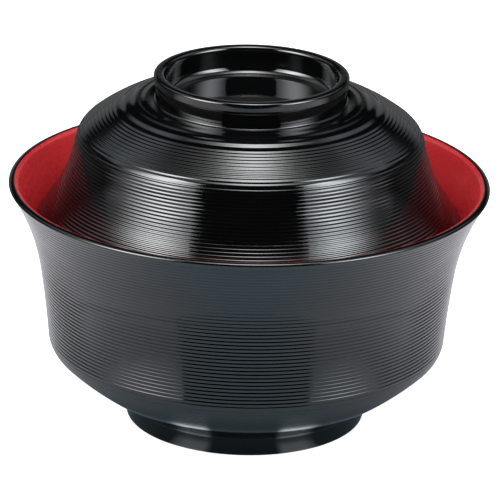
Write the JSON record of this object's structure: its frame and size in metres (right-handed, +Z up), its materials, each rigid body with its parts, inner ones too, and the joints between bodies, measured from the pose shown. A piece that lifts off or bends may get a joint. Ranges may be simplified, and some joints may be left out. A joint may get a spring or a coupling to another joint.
{
  "type": "lidded rice bowl",
  "caption": "Round lidded rice bowl, black outside with fine turned grooves and red inside, on a foot ring, with a lift-off lid that seats inside the flared rim.",
  "frame": {"origin": "centre of the foot ring's underside, on the surface the bowl stands on", "axes": "+Z up along the axis of revolution, towards the lid's grip ring; the bowl is round, so X and Y are any two horizontal directions"},
  "size_m": [0.15, 0.15, 0.1124],
  "materials": {
    "bowl_black": "glossy black lacquer with fine turned grooves",
    "bowl_red": "glossy vermilion red lacquer",
    "lid_black": "glossy black lacquer with fine turned grooves",
    "lid_red": "glossy vermilion red lacquer"
  },
  "bodies": {
    "bowl": {"bowl_body": "bowl_black", "bowl_red_lining": "bowl_red"},
    "lid": {"lid_body": "lid_black", "lid_red_lining": "lid_red"}
  },
  "joints": [
    {"name": "lid_lift", "type": "slide", "parent": "bowl", "child": "lid", "axis": [0, 0, 1], "range_m": [0, 0.12]}
  ]
}
